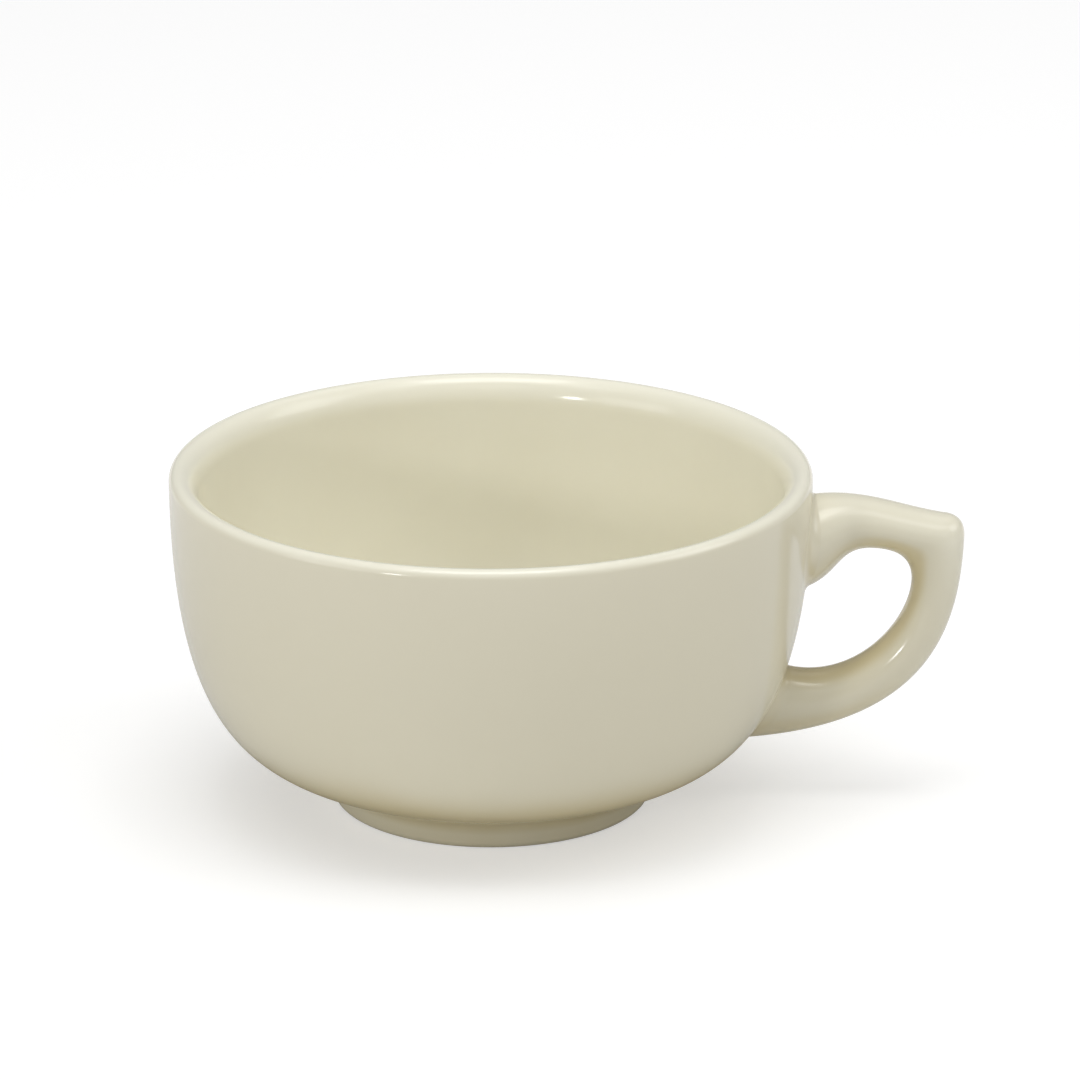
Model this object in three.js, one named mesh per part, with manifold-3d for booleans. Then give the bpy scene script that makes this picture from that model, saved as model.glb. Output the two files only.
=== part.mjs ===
// A low wide cup of glazed hotel china: a bowl with a full round rim on a luted foot ring,
// and a cast loop handle with a blunt spur, joined to the wall by sponged slip.
// Millimetres, +Z up, +X from the bowl towards the handle. The foot stands on Z = 0, and the
// origin lies under the middle of the whole length from the rim to the handle's outer face.

import * as THREE from 'three';
import { mergeVertices } from 'three/addons/utils/BufferGeometryUtils.js';
import Module from 'manifold-3d';

const wasm = await Module();
wasm.setup();

// Bowl: overall sizes and the curve of its outer wall, from the foot's land up to the rim
const CUP_HEIGHT = 61.5;
const RIM_RADIUS = 57;
const RIM_THICKNESS = 5;
const RIM_OUTER_ROUND = 1.6;
const RIM_INNER_DROP = 5;
const BASE_THICKNESS = 5;
const DISH_DEPTH = 0.5;
const BELLY_LENGTH = 9.6;
const BELLY_ANGLE = THREE.MathUtils.degToRad(30);
const SHOULDER_LENGTH = 54.5;

// Foot ring, and the slip in the seam between it and the bowl
const FOOT_RADIUS = 28.4;
const FOOT_HEIGHT = 5.5;
const FOOT_RING_WIDTH = 5.2;
const FOOT_EDGE_RADIUS = 1.2;
const FOOT_SLIP = 1;
const FOOT_FILLET = 1.2;

// Handle: upper arm and spur
const HANDLE_REACH = 27.2;
const ROOT_BITE = 7;
const SPUR_DROP = 9.35;
const SPUR_ROUND = 3.4;
const ARM_ROOT_RISE = 1.6;
const ARM_ARCH_LENGTH = 14.6;
const ARM_ARCH_RISE = 7.6;
const SPUR_LENGTH = 12.2;
const SPUR_RISE = 0.7;

// Handle: outer side of the strap and the underside of the lower arm
const STRAP_FALL = 20.6;
const LOWER_ARM_Z = 10.3;
const LOWER_ARM_LENGTH = 43.8;
const LOWER_ROOT_RADIUS = 36;

// Handle: finger hole
const STRAP_THICKNESS = 9.3;
const HOLE_TOP_DROP = 14.9;
const HOLE_TOP_REACH = 10.3;
const HOLE_ARCH_HEIGHT = 6.2;
const HOLE_ARCH_FULLNESS = 0.64;
const UPPER_ROOT_DROP = 22.7;
const UPPER_ROOT_LENGTH = 12.4;
const UPPER_NECK_LENGTH = 7.3;
const HOLE_FALL = 10.3;
const LOWER_ROOT_Z = 29.1;
const LOWER_ROOT_DIP = 14.4;
const LOWER_ROOT_LENGTH = 15.5;
const LOWER_ROOT_OFFSET = 8;

// Handle: width across the cup and how full its rounded section is
const UPPER_ROOT_WIDTH = 22;
const ARM_WIDTH = 11;
const STRAP_WIDTH = 10;
const LOWER_ROOT_WIDTH = 11.6;
const SECTION_FULLNESS = 2.05;

// Luted joints at the handle's roots
const LUTE_GAP = 0.3;
const SLIP_PAD = 0.7;
const SLIP_FILLET = 1.6;
const SLIP_EDGE = 0.25;

// Facets
const TURN_SEGMENTS = 72;
const WALL_STEPS = 16;
const RIM_STEPS = 5;
const DISH_STEPS = 4;
const FOOT_STEPS = 4;
const FILLET_STEPS = 5;
const SPAN_STEPS = 14;
const SECTION_POINTS = 20;
const SOLVER_STEPS = 40;
const MERGE_DISTANCE = 1e-4;

// Places worked out from the sizes above
const WALL_TOP_Z = CUP_HEIGHT - RIM_OUTER_ROUND;
const RIM_CREST_RADIUS = RIM_RADIUS - RIM_OUTER_ROUND;
const LAND_RADIUS = FOOT_RADIUS + FOOT_FILLET;
const FOOT_WELL_RADIUS = FOOT_RADIUS - FOOT_RING_WIDTH;
const HANDLE_OUTER_X = RIM_RADIUS + HANDLE_REACH;
const SPUR_Z = CUP_HEIGHT - SPUR_DROP;
const HOLE_TOP_Z = CUP_HEIGHT - HOLE_TOP_DROP;
const HOLE_TOP_X = RIM_RADIUS + HOLE_TOP_REACH;
const HOLE_RIGHT_X = HANDLE_OUTER_X - STRAP_THICKNESS;
const HOLE_RIGHT_Z = HOLE_TOP_Z - HOLE_ARCH_HEIGHT;

const point = (x, z) => new THREE.Vector2(x, z);

// Glazes
const creamGlaze = new THREE.MeshStandardMaterial({ color: 0xe4dcc6, roughness: 0.15, metalness: 0 });
const slipGlaze = new THREE.MeshStandardMaterial({ color: 0xd9cfb4, roughness: 0.2, metalness: 0 });

// Profiles are turned about the cup's axis
function turned(profile) {
  const geometry = new THREE.LatheGeometry(profile, TURN_SEGMENTS);
  return geometry.rotateX(Math.PI / 2);
}

// Points along an arc, which turns clockwise where its end angle is the smaller one
function arcPoints(centre, radiusX, radiusZ, startAngle, endAngle, steps) {
  const arc = new THREE.EllipseCurve(
    centre.x, centre.y, radiusX, radiusZ, startAngle, endAngle, endAngle < startAngle);
  return arc.getPoints(steps);
}

// The outer wall leaves the land at a low angle, swells into the belly and ends upright at the rim
const outerWall = new THREE.CubicBezierCurve(
  point(LAND_RADIUS, FOOT_HEIGHT),
  point(
    LAND_RADIUS + BELLY_LENGTH * Math.cos(BELLY_ANGLE),
    FOOT_HEIGHT + BELLY_LENGTH * Math.sin(BELLY_ANGLE)),
  point(RIM_RADIUS, WALL_TOP_Z - SHOULDER_LENGTH),
  point(RIM_RADIUS, WALL_TOP_Z));

// A point off the outer wall, outwards for a positive distance
function offWall(t, distance) {
  const tangent = outerWall.getTangent(t);
  return outerWall.getPoint(t).add(point(tangent.y, -tangent.x).multiplyScalar(distance));
}

// How far along the outer wall a height is reached, from 0 at the land to 1 at the rim
function wallShare(z) {
  let low = 0;
  let high = 1;
  for (let step = 0; step < SOLVER_STEPS; step += 1) {
    const middle = (low + high) / 2;
    if (outerWall.getPoint(middle).y < z) {
      low = middle;
    } else {
      high = middle;
    }
  }
  return low;
}

// How far a point stands off the outer wall, measured square to the wall
function wallDistance(position) {
  const t = wallShare(position.z);
  const radialGap = Math.hypot(position.x, position.y) - outerWall.getPoint(t).x;
  return radialGap * outerWall.getTangent(t).y;
}

// Bowl: flat land under the foot, outer wall, full rim rolled inwards, inner wall and dished floor
function bowlGeometry() {
  const profile = [point(0, FOOT_HEIGHT)];
  for (let step = 0; step <= WALL_STEPS; step += 1) {
    profile.push(outerWall.getPoint(step / WALL_STEPS));
  }
  const outerRim = arcPoints(
    point(RIM_CREST_RADIUS, WALL_TOP_Z), RIM_OUTER_ROUND, RIM_OUTER_ROUND, 0, Math.PI / 2, RIM_STEPS);
  const innerRim = arcPoints(
    point(RIM_CREST_RADIUS, CUP_HEIGHT - RIM_INNER_DROP),
    RIM_THICKNESS - RIM_OUTER_ROUND, RIM_INNER_DROP, Math.PI / 2, Math.PI, RIM_STEPS);
  profile.push(...outerRim.slice(1), ...innerRim.slice(1));
  for (let step = WALL_STEPS - 1; step >= 0; step -= 1) {
    const t = step / WALL_STEPS;
    profile.push(offWall(t, -THREE.MathUtils.lerp(BASE_THICKNESS, RIM_THICKNESS, t)));
  }
  const floorEdge = offWall(0, -BASE_THICKNESS);
  const dishRun = DISH_DEPTH / Math.tan(BELLY_ANGLE);
  const dish = new THREE.QuadraticBezierCurve(
    floorEdge,
    point(floorEdge.x - dishRun, floorEdge.y - DISH_DEPTH),
    point(floorEdge.x - 2 * dishRun, floorEdge.y - DISH_DEPTH));
  profile.push(...dish.getPoints(DISH_STEPS).slice(1));
  profile.push(point(0, floorEdge.y - DISH_DEPTH));
  return turned(profile);
}

// Foot ring: flat contact band between two rounded edges, flat top under the slip
function footRingGeometry() {
  const top = FOOT_HEIGHT - FOOT_SLIP;
  const edge = FOOT_EDGE_RADIUS;
  const innerEdge = arcPoints(
    point(FOOT_WELL_RADIUS + edge, edge), edge, edge, Math.PI, 1.5 * Math.PI, FOOT_STEPS);
  const outerEdge = arcPoints(
    point(FOOT_RADIUS - edge, edge), edge, edge, 1.5 * Math.PI, 2 * Math.PI, FOOT_STEPS);
  const start = point(FOOT_WELL_RADIUS, top);
  return turned([start, ...innerEdge, ...outerEdge, point(FOOT_RADIUS, top), start.clone()]);
}

// Slip in the foot's seam: a flat washer whose two edges are sponged to hollow fillets
function footSlipGeometry() {
  const bottom = FOOT_HEIGHT - FOOT_SLIP;
  const rise = FOOT_SLIP - SLIP_EDGE;
  const outerFillet = arcPoints(
    point(LAND_RADIUS, bottom), FOOT_FILLET, rise, Math.PI, Math.PI / 2, FOOT_STEPS);
  const innerFillet = arcPoints(
    point(FOOT_WELL_RADIUS - FOOT_FILLET, bottom), FOOT_FILLET, rise, Math.PI / 2, 0, FOOT_STEPS);
  const start = point(FOOT_WELL_RADIUS - FOOT_FILLET, FOOT_HEIGHT);
  return turned([start, ...innerFillet, ...outerFillet, point(LAND_RADIUS, FOOT_HEIGHT), start.clone()]);
}

// A stretch of another curve
class Stretch extends THREE.Curve {
  constructor(curve, from, to) {
    super();
    this.curve = curve;
    this.from = from;
    this.to = to;
  }

  getPoint(t, target = new THREE.Vector2()) {
    return this.curve.getPoint(THREE.MathUtils.lerp(this.from, this.to, t), target);
  }
}

// Where along a curve its distance from its start or its end first passes a length
function shareWithin(curve, end, length) {
  let near = end;
  let far = 1 - end;
  const corner = curve.getPoint(end);
  for (let step = 0; step < SOLVER_STEPS; step += 1) {
    const middle = (near + far) / 2;
    if (curve.getPoint(middle).distanceTo(corner) < length) {
      near = middle;
    } else {
      far = middle;
    }
  }
  return near;
}

// Outer rail of the handle: arched arm, rounded spur, then the strap falling to the lower root
const armTop = new THREE.CubicBezierCurve(
  point(RIM_RADIUS - ROOT_BITE, SPUR_Z + ARM_ROOT_RISE),
  point(RIM_RADIUS - ROOT_BITE + ARM_ARCH_LENGTH, SPUR_Z + ARM_ARCH_RISE),
  point(HANDLE_OUTER_X - SPUR_LENGTH, SPUR_Z + SPUR_RISE),
  point(HANDLE_OUTER_X, SPUR_Z));
const strapOuter = new THREE.CubicBezierCurve(
  point(HANDLE_OUTER_X, SPUR_Z),
  point(HANDLE_OUTER_X, SPUR_Z - STRAP_FALL),
  point(LOWER_ROOT_RADIUS + LOWER_ARM_LENGTH, LOWER_ARM_Z),
  point(LOWER_ROOT_RADIUS, LOWER_ARM_Z));
const spurStart = shareWithin(armTop, 1, SPUR_ROUND);
const spurEnd = shareWithin(strapOuter, 0, SPUR_ROUND);
const spurCorner = new THREE.QuadraticBezierCurve(
  armTop.getPoint(spurStart), point(HANDLE_OUTER_X, SPUR_Z), strapOuter.getPoint(spurEnd));

// The arm meets the spur above the top of the finger hole, and the strap starts level with its side
const armShare = shareWithin(armTop, 0, HOLE_TOP_X - (RIM_RADIUS - ROOT_BITE));
const strapShare = shareWithin(strapOuter, 0, SPUR_Z - HOLE_RIGHT_Z);
const spurPath = new THREE.CurvePath();
spurPath.add(new Stretch(armTop, armShare, spurStart));
spurPath.add(spurCorner);
spurPath.add(new Stretch(strapOuter, spurEnd, strapShare));
const outerRail = [new Stretch(armTop, 0, armShare), spurPath, new Stretch(strapOuter, strapShare, 1)];

// Inner rail of the handle: flared upper root, arch over the finger, then down to the lower root
const innerRail = [
  new THREE.CubicBezierCurve(
    point(RIM_RADIUS - ROOT_BITE, CUP_HEIGHT - UPPER_ROOT_DROP),
    point(RIM_RADIUS - ROOT_BITE + UPPER_ROOT_LENGTH, CUP_HEIGHT - UPPER_ROOT_DROP),
    point(HOLE_TOP_X - UPPER_NECK_LENGTH, HOLE_TOP_Z),
    point(HOLE_TOP_X, HOLE_TOP_Z)),
  new THREE.CubicBezierCurve(
    point(HOLE_TOP_X, HOLE_TOP_Z),
    point(THREE.MathUtils.lerp(HOLE_TOP_X, HOLE_RIGHT_X, HOLE_ARCH_FULLNESS), HOLE_TOP_Z),
    point(HOLE_RIGHT_X, THREE.MathUtils.lerp(HOLE_RIGHT_Z, HOLE_TOP_Z, HOLE_ARCH_FULLNESS)),
    point(HOLE_RIGHT_X, HOLE_RIGHT_Z)),
  new THREE.CubicBezierCurve(
    point(HOLE_RIGHT_X, HOLE_RIGHT_Z),
    point(HOLE_RIGHT_X, HOLE_RIGHT_Z - HOLE_FALL),
    point(LOWER_ROOT_RADIUS + LOWER_ROOT_OFFSET + LOWER_ROOT_LENGTH, LOWER_ROOT_Z - LOWER_ROOT_DIP),
    point(LOWER_ROOT_RADIUS + LOWER_ROOT_OFFSET, LOWER_ROOT_Z)),
];
const SPANS = innerRail.length;

// A station runs from 0 in the upper root to SPANS in the lower root, one whole number per span
function railPoint(rail, station) {
  const span = Math.min(Math.floor(station), SPANS - 1);
  return rail[span].getPointAt(station - span);
}

// The handle is widest at its upper root, slims along the arm and strap, and widens to its lower root
const WIDTHS = [UPPER_ROOT_WIDTH, ARM_WIDTH, STRAP_WIDTH, LOWER_ROOT_WIDTH];

function widthAt(station) {
  const span = Math.min(Math.floor(station), SPANS - 1);
  const share = THREE.MathUtils.smoothstep(station, span, span + 1);
  return THREE.MathUtils.lerp(WIDTHS[span], WIDTHS[span + 1], share);
}

// One point of the handle's rounded section, grown outwards, on a side line from 0 to SECTION_POINTS
function sidePoint(station, side, growth) {
  const outer = railPoint(outerRail, station);
  const inner = railPoint(innerRail, station);
  const centre = outer.clone().add(inner).divideScalar(2);
  const across = outer.clone().sub(inner).normalize();
  const halfDepth = outer.distanceTo(inner) / 2 + growth;
  const halfWidth = widthAt(station) / 2 + growth;
  const rounding = (value) => Math.sign(value) * Math.abs(value) ** (2 / SECTION_FULLNESS);
  const angle = (2 * Math.PI * side) / SECTION_POINTS;
  const depth = halfDepth * rounding(Math.cos(angle));
  return new THREE.Vector3(
    centre.x + across.x * depth, halfWidth * rounding(Math.sin(angle)), centre.y + across.y * depth);
}

// A ring of points, one for each side line
function ring(pointOnSide) {
  return Array.from({ length: SECTION_POINTS }, (_, side) => pointOnSide(side));
}

function section(station, growth) {
  return ring((side) => sidePoint(station, side, growth));
}

// A closed body through a row of rings, capped at both ends
function loft(rings) {
  const count = SECTION_POINTS;
  const points = rings.flat();
  const index = [];
  for (let start = 0; start + count < points.length; start += count) {
    for (let side = 0; side < count; side += 1) {
      const a = start + side;
      const b = start + ((side + 1) % count);
      index.push(a, a + count, b, b, a + count, b + count);
    }
  }
  const lastStart = points.length - count;
  const middles = [rings[0], rings[rings.length - 1]].map(
    (end) => end.reduce((sum, corner) => sum.add(corner), new THREE.Vector3()).divideScalar(count));
  const firstMiddle = points.length;
  const lastMiddle = firstMiddle + 1;
  for (let side = 0; side < count; side += 1) {
    const next = (side + 1) % count;
    index.push(firstMiddle, side, next);
    index.push(lastMiddle, lastStart + next, lastStart + side);
  }
  return new THREE.BufferGeometry().setFromPoints([...points, ...middles]).setIndex(index);
}

// Closed geometry to a solid that can be cut, and back
function toSolid(geometry) {
  const bare = geometry.clone();
  bare.deleteAttribute('normal');
  bare.deleteAttribute('uv');
  const merged = mergeVertices(bare, MERGE_DISTANCE);
  const corners = merged.index.array;
  const triangles = [];
  for (let first = 0; first < corners.length; first += 3) {
    const [a, b, c] = corners.slice(first, first + 3);
    if (a !== b && b !== c && c !== a) {
      triangles.push(a, b, c);
    }
  }
  const mesh = new wasm.Mesh({
    numProp: 3,
    vertProperties: merged.attributes.position.array,
    triVerts: Uint32Array.from(triangles),
  });
  return new wasm.Manifold(mesh);
}

function toGeometry(solid) {
  const mesh = solid.getMesh();
  const geometry = new THREE.BufferGeometry();
  geometry.setAttribute('position', new THREE.BufferAttribute(mesh.vertProperties, 3));
  geometry.setIndex(new THREE.BufferAttribute(mesh.triVerts, 1));
  return geometry;
}

// Everything inside the outer wall, grown by a clearance, as a tool that cuts the roots to fit it
function wallTool(clearance) {
  const profile = [point(0, FOOT_HEIGHT - clearance)];
  for (let step = 0; step <= WALL_STEPS; step += 1) {
    profile.push(offWall(step / WALL_STEPS, clearance));
  }
  profile.push(point(RIM_RADIUS + clearance, CUP_HEIGHT), point(0, CUP_HEIGHT));
  return toSolid(turned(profile));
}

// The point where a root's side line, grown outwards, stands a distance off the wall
function pointOffWall(side, growth, distance, wallEnd, freeEnd) {
  let near = wallEnd;
  let far = freeEnd;
  for (let step = 0; step < SOLVER_STEPS; step += 1) {
    const middle = (near + far) / 2;
    if (wallDistance(sidePoint(middle, side, growth)) < distance) {
      near = middle;
    } else {
      far = middle;
    }
  }
  return sidePoint(near, side, growth);
}

// Sections of the handle between two stations
function sections(from, to, count, growth) {
  return Array.from(
    { length: count + 1 }, (_, step) => section(THREE.MathUtils.lerp(from, to, step / count), growth));
}

// Handle: all sections from root to root, cut back to leave room for the slip
function handleGeometry() {
  const whole = toSolid(loft(sections(0, SPANS, SPANS * SPAN_STEPS, 0)));
  return toGeometry(whole.subtract(wallTool(2 * LUTE_GAP + SLIP_PAD)));
}

// Slip joint: a pad between root and wall, with a hollow fillet sponged round the root
function slipJointGeometry(wallEnd, freeEnd) {
  const collar = LUTE_GAP + SLIP_EDGE;
  const fillets = ring((side) => new THREE.QuadraticBezierCurve3(
    pointOffWall(side, collar + SLIP_FILLET, 0, wallEnd, freeEnd),
    pointOffWall(side, collar, 0, wallEnd, freeEnd),
    pointOffWall(side, collar, SLIP_FILLET, wallEnd, freeEnd)));
  const flare = [section(wallEnd, collar + SLIP_FILLET)];
  for (let step = 0; step <= FILLET_STEPS; step += 1) {
    flare.push(ring((side) => fillets[side].getPoint(step / FILLET_STEPS)));
  }
  const socket = sections(wallEnd, freeEnd, SPAN_STEPS, LUTE_GAP);
  const outwards = wallEnd < freeEnd;
  const body = toSolid(loft(outwards ? flare : flare.reverse()));
  const hollow = toSolid(loft(outwards ? socket : socket.reverse()));
  return toGeometry(
    body.subtract(wallTool(LUTE_GAP)).subtract(hollow.subtract(wallTool(LUTE_GAP + SLIP_PAD))));
}

// Assembly
const pieces = [
  ['bowl', bowlGeometry(), creamGlaze],
  ['foot_ring', footRingGeometry(), creamGlaze],
  ['foot_slip_joint', footSlipGeometry(), slipGlaze],
  ['handle', handleGeometry(), creamGlaze],
  ['upper_slip_joint', slipJointGeometry(0, 1), slipGlaze],
  ['lower_slip_joint', slipJointGeometry(SPANS, SPANS - 1), slipGlaze],
];

const cup = new THREE.Group();
cup.name = 'cup';
cup.position.x = -HANDLE_REACH / 2;
for (const [name, geometry, material] of pieces) {
  const piece = new THREE.Mesh(geometry, material);
  piece.name = name;
  cup.add(piece);
}

export default cup;
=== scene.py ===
"""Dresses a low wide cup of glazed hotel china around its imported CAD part.

Each CAD piece is modelled again as a fine mesh in the same place. The bowl, its foot ring and the slip
between them are turned from profiles. The handle and the slip at its two roots are drawn out ring by
ring between an outer and an inner rail.
"""

import bisect
import logging
import math
from collections.abc import Sequence
from dataclasses import dataclass
from enum import Enum, IntEnum
from itertools import accumulate, pairwise

import bmesh
import bpy
from mathutils import Color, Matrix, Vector
from mathutils.geometry import interpolate_bezier


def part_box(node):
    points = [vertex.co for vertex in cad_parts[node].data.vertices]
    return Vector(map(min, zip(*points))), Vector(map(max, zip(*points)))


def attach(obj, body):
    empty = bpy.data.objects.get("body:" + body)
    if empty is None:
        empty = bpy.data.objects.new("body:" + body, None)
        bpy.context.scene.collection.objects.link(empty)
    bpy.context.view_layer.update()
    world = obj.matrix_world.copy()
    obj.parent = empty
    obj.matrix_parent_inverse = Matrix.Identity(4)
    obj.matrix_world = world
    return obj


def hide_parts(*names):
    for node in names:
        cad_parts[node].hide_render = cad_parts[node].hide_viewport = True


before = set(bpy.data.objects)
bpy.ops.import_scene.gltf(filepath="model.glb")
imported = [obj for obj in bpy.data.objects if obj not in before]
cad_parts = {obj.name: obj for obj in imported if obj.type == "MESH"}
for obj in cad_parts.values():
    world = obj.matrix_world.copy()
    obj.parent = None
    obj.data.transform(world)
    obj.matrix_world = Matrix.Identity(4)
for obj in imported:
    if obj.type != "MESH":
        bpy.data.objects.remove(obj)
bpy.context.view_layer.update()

BODY = "root"
MM = 0.001
UP = Vector((0, 0, 1))
# Vertex attribute of glaze depth, which also carries painted light and shade.
GLAZE_DEPTH_AND_SHADE = "glaze_depth_and_shade"
CURVE_POINTS = 400
CORNER_POINTS = 100
SOLVER_STEPS = 30
WELD = 0.001 * MM
CREASE = math.radians(40)
NOISE_LOW = 0.3
NOISE_HIGH = 0.7
WHITE = "ffffff"
CHANNEL_TOP = 255

log = logging.getLogger("cup")


class Slot(Enum):
    """Material slots that the record names."""

    CREAM = "cream_glaze"
    SLIP = "slip_glaze"


class Node(Enum):
    """CAD pieces that the fine meshes stand for."""

    BOWL = "bowl"
    FOOT = "foot_ring"
    FOOT_SLIP = "foot_slip_joint"
    HANDLE = "handle"
    UPPER_SLIP = "upper_slip_joint"
    LOWER_SLIP = "lower_slip_joint"


class Depth(float, Enum):
    """How thick the glaze lies: thin on edges, even on open walls, pooled in hollows. The same scale
    also carries painted shade, towards pooled, and painted light, towards thin.
    """

    THIN = 0.0
    EVEN = 0.5
    POOLED_AND_SHADED = 1.0


class Station(IntEnum):
    """Marks along the handle, from its upper root round the finger hole to its lower root."""

    UPPER_ROOT = 0
    ARM_END = 1
    STRAP_START = 2
    LOWER_ROOT = 3


def linear(colour: str) -> tuple[float, float, float, float]:
    """Turns an sRGB colour to linear RGBA.

    Args:
        colour: Six hex digits, red first.

    Returns:
        The four linear channels, with alpha 1.
    """
    shown = Color([level / CHANNEL_TOP for level in bytes.fromhex(colour)])
    return (*shown.from_srgb_to_scene_linear(), 1.0)


def per_metre(size_mm: float) -> float:
    """Gives a texture's scale for a feature size in millimetres."""
    return 1 / (size_mm * MM)


def lerp(start: float, end: float, share: float) -> float:
    """Blends from start to end."""
    return start + (end - start) * share


def smoothstep(low: float, high: float, value: float) -> float:
    """Rises smoothly from 0 at low to 1 at high."""
    share = min(max((value - low) / (high - low), 0.0), 1.0)
    return share * share * (3 - 2 * share)


def add_node(
    tree: bpy.types.NodeTree, kind: str, inputs: dict[str | int, object] | None = None,
    **settings: object,
) -> bpy.types.Node:
    """Adds a node with its settings and links.

    Args:
        tree: The tree that takes the node.
        kind: The node's type name.
        inputs: Values, or sockets to link from, by input name or number.
        **settings: The node's own properties.

    Returns:
        The new node.
    """
    node = tree.nodes.new(kind)
    for name, value in settings.items():
        setattr(node, name, value)
    for key, value in (inputs or {}).items():
        if isinstance(value, bpy.types.NodeSocket):
            tree.links.new(value, node.inputs[key])
        else:
            node.inputs[key].default_value = value
    return node


@dataclass(frozen=True)
class Glaze:
    """Cream glaze, dipped and fired glossy over vitrified china.

    It breaks lighter where it runs thin over edges and turns deeper and yellower where it pools in
    hollows. The same ramp also paints light, lighter inside the cup and over the upper arm's top, and
    paints shade, deeper and yellower in the foot's groove, low on the belly, round the finger hole and
    under the lower arm. Slow clouds and a faint orange peel keep its gloss from looking like plastic.
    """

    name: str
    # Thin glaze breaking over edges, also painted light inside the cup and over the upper arm's top.
    thin_and_lit: str = "f3f0de"
    even: str = "e1dbc4"
    # Pooled glaze in hollows, also painted shade in the foot's groove, low on the belly, round the
    # finger hole and under the lower arm.
    pooled_and_shaded: str = "cfc092"
    cloud_mm: float = 26.0
    cloud_share: float = 0.035
    cloud_detail: float = 3.0
    cloud_roughness: float = 0.55
    gloss: float = 0.13
    gloss_spread: float = 0.05
    swell_mm: float = 14.0
    swell_height_mm: float = 0.02
    swell_detail: float = 1.0
    peel_mm: float = 2.2
    peel_height_mm: float = 0.0025
    peel_detail: float = 2.0
    ior: float = 1.52

    def material(self) -> bpy.types.Material:
        """Builds the glaze's node material.

        Returns:
            A material that reads the mesh's glaze depth, which also carries painted light and shade, and
            its place on the object.
        """
        material = bpy.data.materials.new(self.name)
        material.use_nodes = True
        tree = material.node_tree
        tree.nodes.clear()
        place = add_node(tree, "ShaderNodeTexCoord").outputs["Object"]
        depth = add_node(tree, "ShaderNodeAttribute", attribute_name=GLAZE_DEPTH_AND_SHADE).outputs["Fac"]
        cloud = add_node(tree, "ShaderNodeTexNoise", {
            "Vector": place, "Scale": per_metre(self.cloud_mm),
            "Detail": self.cloud_detail, "Roughness": self.cloud_roughness})
        drift = add_node(tree, "ShaderNodeMapRange", {
            "Value": cloud.outputs["Fac"], "From Min": NOISE_LOW, "From Max": NOISE_HIGH,
            "To Min": -self.cloud_share, "To Max": self.cloud_share})
        level = add_node(tree, "ShaderNodeMath", {
            0: depth, 1: drift.outputs["Result"]}, operation="ADD", use_clamp=True)
        # The ramp runs from thin glaze and painted light, through even glaze, to pooled glaze and
        # painted shade.
        tone = add_node(tree, "ShaderNodeValToRGB", {"Fac": level.outputs["Value"]})
        ramp = tone.color_ramp
        ramp.interpolation = "EASE"
        ramp.elements[0].color = linear(self.thin_and_lit)
        ramp.elements[1].color = linear(self.pooled_and_shaded)
        ramp.elements.new(Depth.EVEN.value).color = linear(self.even)
        gloss = add_node(tree, "ShaderNodeMapRange", {
            "Value": cloud.outputs["Fac"], "From Min": NOISE_LOW, "From Max": NOISE_HIGH,
            "To Min": self.gloss, "To Max": self.gloss + self.gloss_spread})
        swell = add_node(tree, "ShaderNodeTexNoise", {
            "Vector": place, "Scale": per_metre(self.swell_mm), "Detail": self.swell_detail})
        swell_bump = add_node(tree, "ShaderNodeBump", {
            "Height": swell.outputs["Fac"], "Distance": self.swell_height_mm * MM})
        peel = add_node(tree, "ShaderNodeTexNoise", {
            "Vector": place, "Scale": per_metre(self.peel_mm), "Detail": self.peel_detail})
        peel_bump = add_node(tree, "ShaderNodeBump", {
            "Height": peel.outputs["Fac"], "Distance": self.peel_height_mm * MM,
            "Normal": swell_bump.outputs["Normal"]})
        skin = add_node(tree, "ShaderNodeBsdfPrincipled", {
            "Base Color": tone.outputs["Color"], "Roughness": gloss.outputs["Result"],
            "Normal": peel_bump.outputs["Normal"], "IOR": self.ior})
        add_node(tree, "ShaderNodeOutputMaterial", {"Surface": skin.outputs["BSDF"]})
        return material


@dataclass(frozen=True)
class DryBody:
    """Bare vitrified china on the foot's contact band, wiped clean of glaze and rubbed on tables.

    It is matt and a little darker than the glaze, with fine grit and grey rubbing. Real grit is too fine
    to show, so it is drawn coarser here.
    """

    name: str = "bare_vitrified_china"
    clean: str = "d6cbb2"
    rubbed: str = "b3a98f"
    rub_mm: float = 3.5
    rub_detail: float = 4.0
    rub_roughness: float = 0.65
    rub_low: float = 0.45
    rub_high: float = 0.7
    grit_mm: float = 0.5
    grit_height_mm: float = 0.02
    grit_detail: float = 2.0
    roughness: float = 0.72

    def material(self) -> bpy.types.Material:
        """Builds the bare body's node material.

        Returns:
            A matt material with fine grit.
        """
        material = bpy.data.materials.new(self.name)
        material.use_nodes = True
        tree = material.node_tree
        tree.nodes.clear()
        place = add_node(tree, "ShaderNodeTexCoord").outputs["Object"]
        rub = add_node(tree, "ShaderNodeTexNoise", {
            "Vector": place, "Scale": per_metre(self.rub_mm),
            "Detail": self.rub_detail, "Roughness": self.rub_roughness})
        wear = add_node(tree, "ShaderNodeMapRange", {
            "Value": rub.outputs["Fac"], "From Min": self.rub_low, "From Max": self.rub_high})
        colour = add_node(tree, "ShaderNodeMix", {
            "Factor": wear.outputs["Result"], "A": linear(self.clean), "B": linear(self.rubbed)},
            data_type="RGBA")
        grit = add_node(tree, "ShaderNodeTexNoise", {
            "Vector": place, "Scale": per_metre(self.grit_mm), "Detail": self.grit_detail})
        bump = add_node(tree, "ShaderNodeBump", {
            "Height": grit.outputs["Fac"], "Distance": self.grit_height_mm * MM})
        skin = add_node(tree, "ShaderNodeBsdfPrincipled", {
            "Base Color": colour.outputs["Result"], "Roughness": self.roughness,
            "Normal": bump.outputs["Normal"]})
        add_node(tree, "ShaderNodeOutputMaterial", {"Surface": skin.outputs["BSDF"]})
        return material


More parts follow.
